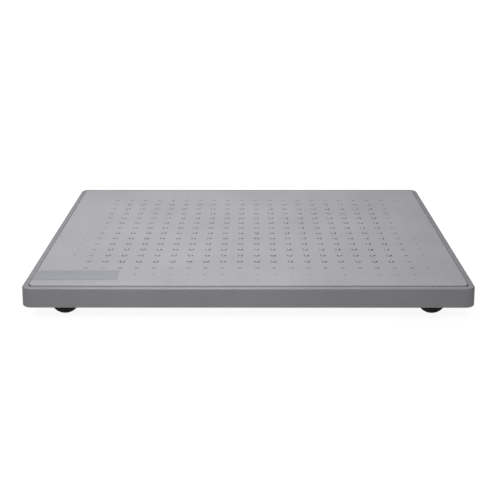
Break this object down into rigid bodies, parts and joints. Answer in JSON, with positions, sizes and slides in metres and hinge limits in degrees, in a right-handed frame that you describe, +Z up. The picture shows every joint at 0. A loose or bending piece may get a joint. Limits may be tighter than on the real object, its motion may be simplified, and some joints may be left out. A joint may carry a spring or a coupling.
{
  "type": "animal weighing scale",
  "caption": "Low platform scale for animals: grey tray cover with a pimpled rubber mat, tube frame, corner load cells, and screw feet with black domed pads.",
  "frame": {"origin": "centre of the footprint on the floor, under the middle of the deck, with the feet screwed in", "axes": "+X to the right along the long side, +Y to the rear, +Z up"},
  "size_m": [0.6098, 0.4568, 0.0568],
  "materials": {
    "shell_plastic": "fine spark-eroded grain",
    "mat_rubber": "matt, fine grain",
    "panel_plastic": "satin, blank",
    "frame_paint": "black-grey powder coat",
    "zinc_steel": "bright zinc plate",
    "cell_alloy": "machined",
    "seal_compound": "silicone sealing compound",
    "black_rubber": "matt",
    "foot_rubber": "satin moulded",
    "black_nylon": "moulded",
    "lead_sheath": "PVC sheath",
    "box_plastic": "light grey, satin",
    "board_green": "solder resist",
    "terminal_plastic": "moulded",
    "pot_blue": "moulded",
    "nickel": "satin nickel",
    "contact_brass": "bright"
  },
  "bodies": {
    "platform": {"box_gasket": "black_rubber", "box_lid": "box_plastic", "cable_clips": "black_nylon", "cable_glands": "black_nylon", "cell_lead_front_left": "lead_sheath", "cell_lead_front_right": "lead_sheath", "cell_lead_rear_left": "lead_sheath", "cell_lead_rear_right": "lead_sheath", "cell_screws": "zinc_steel", "cell_spacers": "zinc_steel", "corner_plate_front_left": "frame_paint", "corner_plate_front_right": "frame_paint", "corner_plate_rear_left": "frame_paint", "corner_plate_rear_right": "frame_paint", "cross_rail_front": "frame_paint", "cross_rail_rear": "frame_paint", "deck_posts": "black_nylon", "deck_screws": "zinc_steel", "deck_shell": "shell_plastic", "deck_washers": "zinc_steel", "display_lead": "lead_sheath", "display_socket": "nickel", "gauge_seals": "seal_compound", "grommets": "black_rubber", "inner_rail_front": "frame_paint", "inner_rail_rear": "frame_paint", "junction_box": "box_plastic", "lead_boots": "black_rubber", "load_cell_front_left": "cell_alloy", "load_cell_front_right": "cell_alloy", "load_cell_rear_left": "cell_alloy", "load_cell_rear_right": "cell_alloy", "rail_caps": "black_nylon", "side_rail_left": "frame_paint", "side_rail_right": "frame_paint", "small_screws": "zinc_steel", "socket_contacts": "contact_brass", "socket_insert": "black_nylon", "socket_nut": "nickel", "summing_board": "board_green", "terminal_blocks": "terminal_plastic", "trim_pots": "pot_blue"},
    "mat": {"deck_mat": "mat_rubber", "name_panel": "panel_plastic"},
    "pad_front_left": {"foot_dome_front_left": "foot_rubber", "foot_cup_front_left": "zinc_steel"},
    "stem_front_left": {"foot_stem_front_left": "zinc_steel"},
    "nut_front_left": {"foot_nut_front_left": "zinc_steel"},
    "pad_front_right": {"foot_dome_front_right": "foot_rubber", "foot_cup_front_right": "zinc_steel"},
    "stem_front_right": {"foot_stem_front_right": "zinc_steel"},
    "nut_front_right": {"foot_nut_front_right": "zinc_steel"},
    "pad_rear_left": {"foot_dome_rear_left": "foot_rubber", "foot_cup_rear_left": "zinc_steel"},
    "stem_rear_left": {"foot_stem_rear_left": "zinc_steel"},
    "nut_rear_left": {"foot_nut_rear_left": "zinc_steel"},
    "pad_rear_right": {"foot_dome_rear_right": "foot_rubber", "foot_cup_rear_right": "zinc_steel"},
    "stem_rear_right": {"foot_stem_rear_right": "zinc_steel"},
    "nut_rear_right": {"foot_nut_rear_right": "zinc_steel"}
  },
  "joints": [
    {"name": "height_front_left", "type": "slide", "parent": "platform", "child": "pad_front_left", "axis": [0, 0, -1], "range_m": [0, 0.0083]},
    {"name": "turn_front_left", "type": "hinge", "parent": "pad_front_left", "child": "stem_front_left", "pos_m": [-0.255, -0.1805, 0.0215], "axis": [0, 0, -1], "range_deg": [0, 1910]},
    {"name": "lock_front_left", "type": "hinge", "parent": "platform", "child": "nut_front_left", "pos_m": [-0.255, -0.1805, 0.0268], "axis": [0, 0, -1], "range_deg": [0, 270]},
    {"name": "height_front_right", "type": "slide", "parent": "platform", "child": "pad_front_right", "axis": [0, 0, -1], "range_m": [0, 0.0083]},
    {"name": "turn_front_right", "type": "hinge", "parent": "pad_front_right", "child": "stem_front_right", "pos_m": [0.255, -0.1805, 0.0215], "axis": [0, 0, -1], "range_deg": [0, 1910]},
    {"name": "lock_front_right", "type": "hinge", "parent": "platform", "child": "nut_front_right", "pos_m": [0.255, -0.1805, 0.0268], "axis": [0, 0, -1], "range_deg": [0, 270]},
    {"name": "height_rear_left", "type": "slide", "parent": "platform", "child": "pad_rear_left", "axis": [0, 0, -1], "range_m": [0, 0.0083]},
    {"name": "turn_rear_left", "type": "hinge", "parent": "pad_rear_left", "child": "stem_rear_left", "pos_m": [-0.255, 0.1805, 0.0215], "axis": [0, 0, -1], "range_deg": [0, 1910]},
    {"name": "lock_rear_left", "type": "hinge", "parent": "platform", "child": "nut_rear_left", "pos_m": [-0.255, 0.1805, 0.0268], "axis": [0, 0, -1], "range_deg": [0, 270]},
    {"name": "height_rear_right", "type": "slide", "parent": "platform", "child": "pad_rear_right", "axis": [0, 0, -1], "range_m": [0, 0.0083]},
    {"name": "turn_rear_right", "type": "hinge", "parent": "pad_rear_right", "child": "stem_rear_right", "pos_m": [0.255, 0.1805, 0.0215], "axis": [0, 0, -1], "range_deg": [0, 1910]},
    {"name": "lock_rear_right", "type": "hinge", "parent": "platform", "child": "nut_rear_right", "pos_m": [0.255, 0.1805, 0.0268], "axis": [0, 0, -1], "range_deg": [0, 270]},
    {"name": "mat_lift", "type": "slide", "parent": "platform", "child": "mat", "axis": [0, 0, 1], "range_m": [0, 0.04]}
  ],
  "couplings": [
    {"joint": "height_front_left", "follows": "turn_front_left", "m_per_rad": 0.00023873},
    {"joint": "height_front_right", "follows": "turn_front_right", "m_per_rad": 0.00023873},
    {"joint": "height_rear_left", "follows": "turn_rear_left", "m_per_rad": 0.00023873},
    {"joint": "height_rear_right", "follows": "turn_rear_right", "m_per_rad": 0.00023873}
  ]
}
